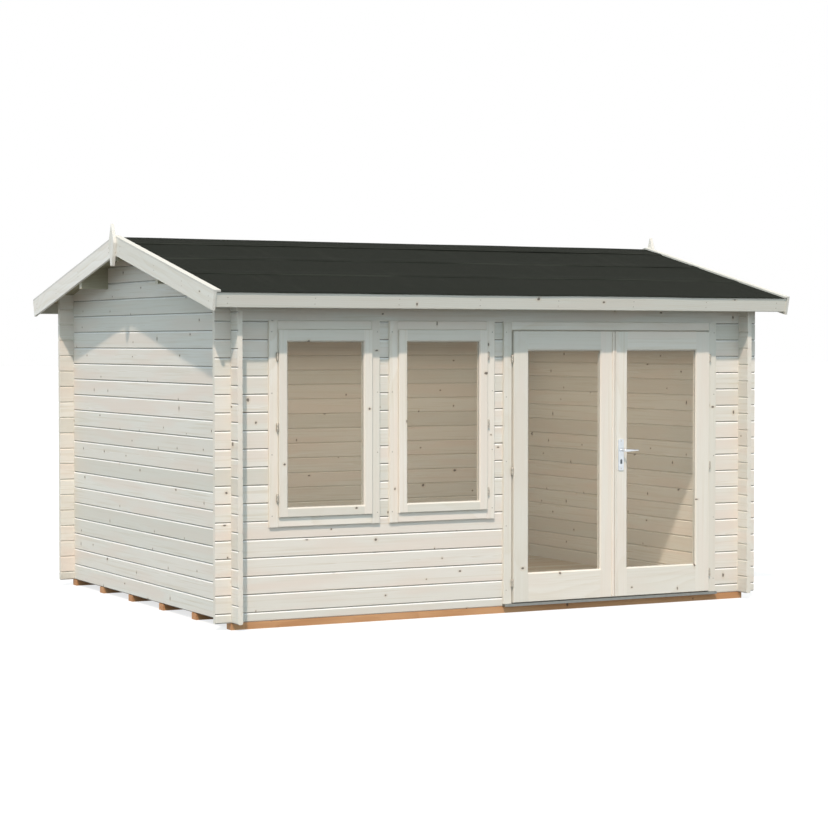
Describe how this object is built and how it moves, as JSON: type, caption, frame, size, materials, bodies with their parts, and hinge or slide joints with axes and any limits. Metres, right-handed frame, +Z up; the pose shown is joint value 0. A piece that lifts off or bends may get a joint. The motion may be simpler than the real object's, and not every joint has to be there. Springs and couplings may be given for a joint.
{
  "type": "garden log cabin",
  "caption": "Hollow log cabin with notched corner logs, a shallow felted gable roof, side-hung windows and a glazed double door whose leaves swing outwards.",
  "frame": {"origin": "middle of the footprint, at the underside of the floor bearers", "axes": "+X along the front to the right as seen from outside, -Y out of the front, +Z up"},
  "size_m": [4.3606, 3.5052, 2.5966],
  "materials": {
    "bearer_timber": "rough-sawn treated timber",
    "floor_boards": "planed boards",
    "threshold_metal": "dull extruded strip",
    "wall_logs": "planed pale softwood with knots",
    "roof_timber": "planed pale softwood",
    "roof_felt": "mineral-faced bitumen felt",
    "trim_boards": "planed pale softwood",
    "frame_timber": "planed pale softwood",
    "door_timber": "planed pale softwood",
    "panes": "clear float glass",
    "hardware": "satin metal"
  },
  "bodies": {
    "cabin": {"floor_bearers": "bearer_timber", "floor_deck": "floor_boards", "door_threshold": "threshold_metal", "front_lower_logs": "wall_logs", "front_left_logs": "wall_logs", "front_window_logs": "wall_logs", "front_centre_logs": "wall_logs", "front_right_logs": "wall_logs", "front_header_logs": "wall_logs", "rear_wall": "wall_logs", "left_gable_wall": "wall_logs", "right_gable_wall": "wall_logs", "ridge_purlin": "roof_timber", "front_purlin": "roof_timber", "rear_purlin": "roof_timber", "front_roof_deck": "roof_timber", "rear_roof_deck": "roof_timber", "front_roof_felt": "roof_felt", "rear_roof_felt": "roof_felt", "front_fascia": "trim_boards", "rear_fascia": "trim_boards", "left_bargeboards": "trim_boards", "right_bargeboards": "trim_boards", "left_verge_caps": "trim_boards", "right_verge_caps": "trim_boards", "left_finial": "trim_boards", "right_finial": "trim_boards", "left_window_frame": "frame_timber", "right_window_frame": "frame_timber", "left_window_sash": "frame_timber", "right_window_sash": "frame_timber", "door_left_jamb": "frame_timber", "door_right_jamb": "frame_timber", "door_head": "frame_timber", "left_window_glass": "panes", "right_window_glass": "panes", "frame_hinges": "hardware"},
    "left_door": {"left_door_leaf": "door_timber", "left_door_glass": "panes", "left_door_hinges": "hardware"},
    "right_door": {"right_door_leaf": "door_timber", "right_door_glass": "panes", "right_door_hinges": "hardware", "door_handle_plates": "hardware"},
    "door_handle": {"door_lever": "hardware"}
  },
  "joints": [
    {"name": "left_door_hinge", "type": "hinge", "parent": "cabin", "child": "left_door", "pos_m": [0.06338, -1.5243, 0.9425], "axis": [0, 0, -1], "range_deg": [0, 105]},
    {"name": "right_door_hinge", "type": "hinge", "parent": "cabin", "child": "right_door", "pos_m": [1.64798, -1.5243, 0.9425], "axis": [0, 0, 1], "range_deg": [0, 105]},
    {"name": "lever_turn", "type": "hinge", "parent": "right_door", "child": "door_handle", "pos_m": [0.90968, -1.514, 1.064], "axis": [0, 1, 0], "range_deg": [0, 40], "stiffness_Nm_per_rad": 1.5, "springref_deg": -22.92}
  ]
}
